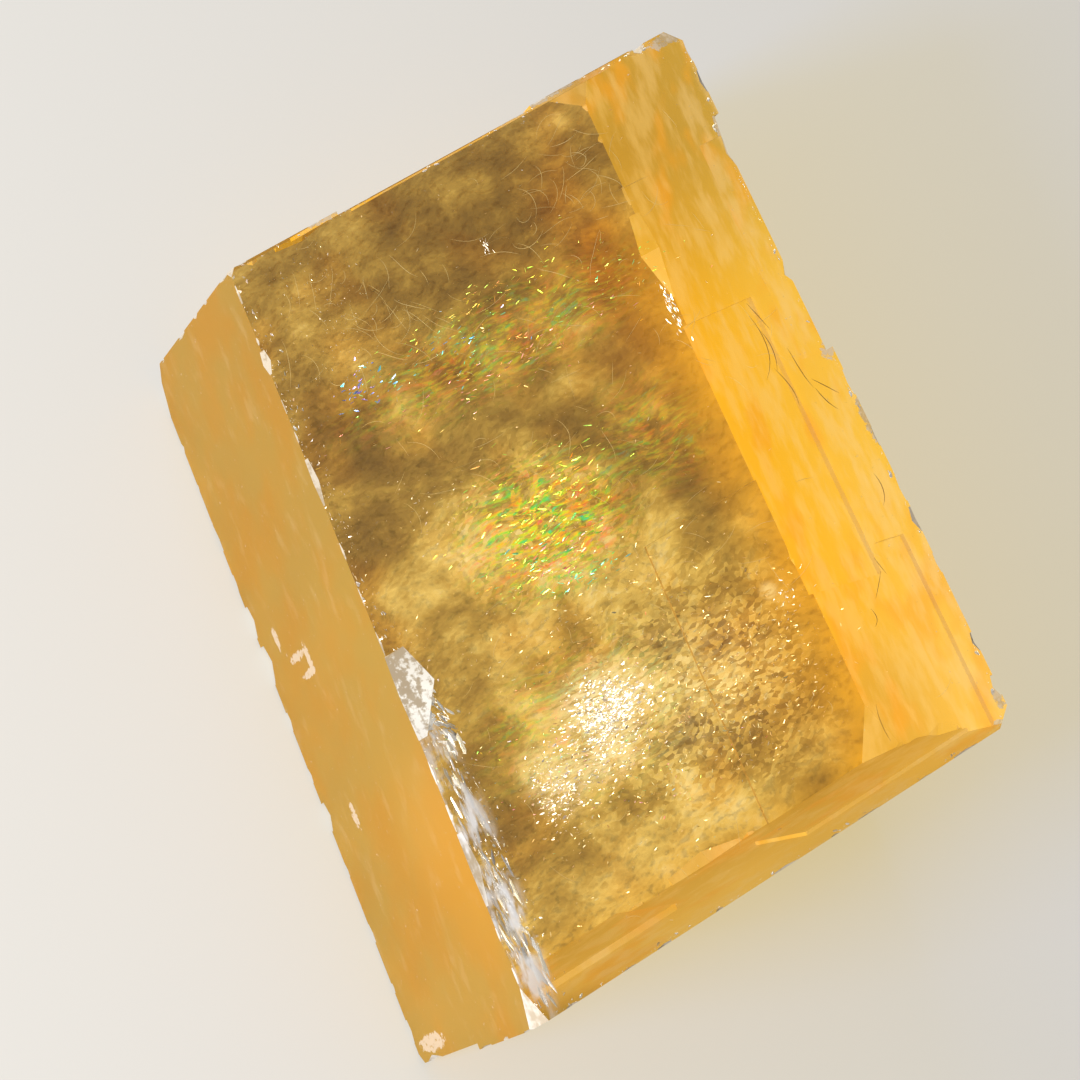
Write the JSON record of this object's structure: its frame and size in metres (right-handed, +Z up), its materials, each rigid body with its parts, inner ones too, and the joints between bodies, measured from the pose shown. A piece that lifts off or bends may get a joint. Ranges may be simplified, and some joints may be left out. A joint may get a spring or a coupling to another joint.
{
  "type": "calcite rhomb",
  "caption": "Golden see-through calcite cleavage rhomb with stepped ledges, chipped edges and rainbow cracks inside, lying on one flat cleavage face.",
  "frame": {"origin": "on the surface that the rhomb rests on, under the middle of its bounding box", "axes": "+Z up from the resting face, +Y along the long edges towards the end with the blunt upper corner, +X across the crystal towards its overhanging side"},
  "size_m": [0.0578, 0.0932, 0.0274],
  "materials": {
    "honey_calcite": "clear honey-yellow crystal, glossy on the broad faces and waxy on the sides"
  },
  "bodies": {
    "root": {"calcite_rhomb": "honey_calcite"}
  },
  "joints": []
}
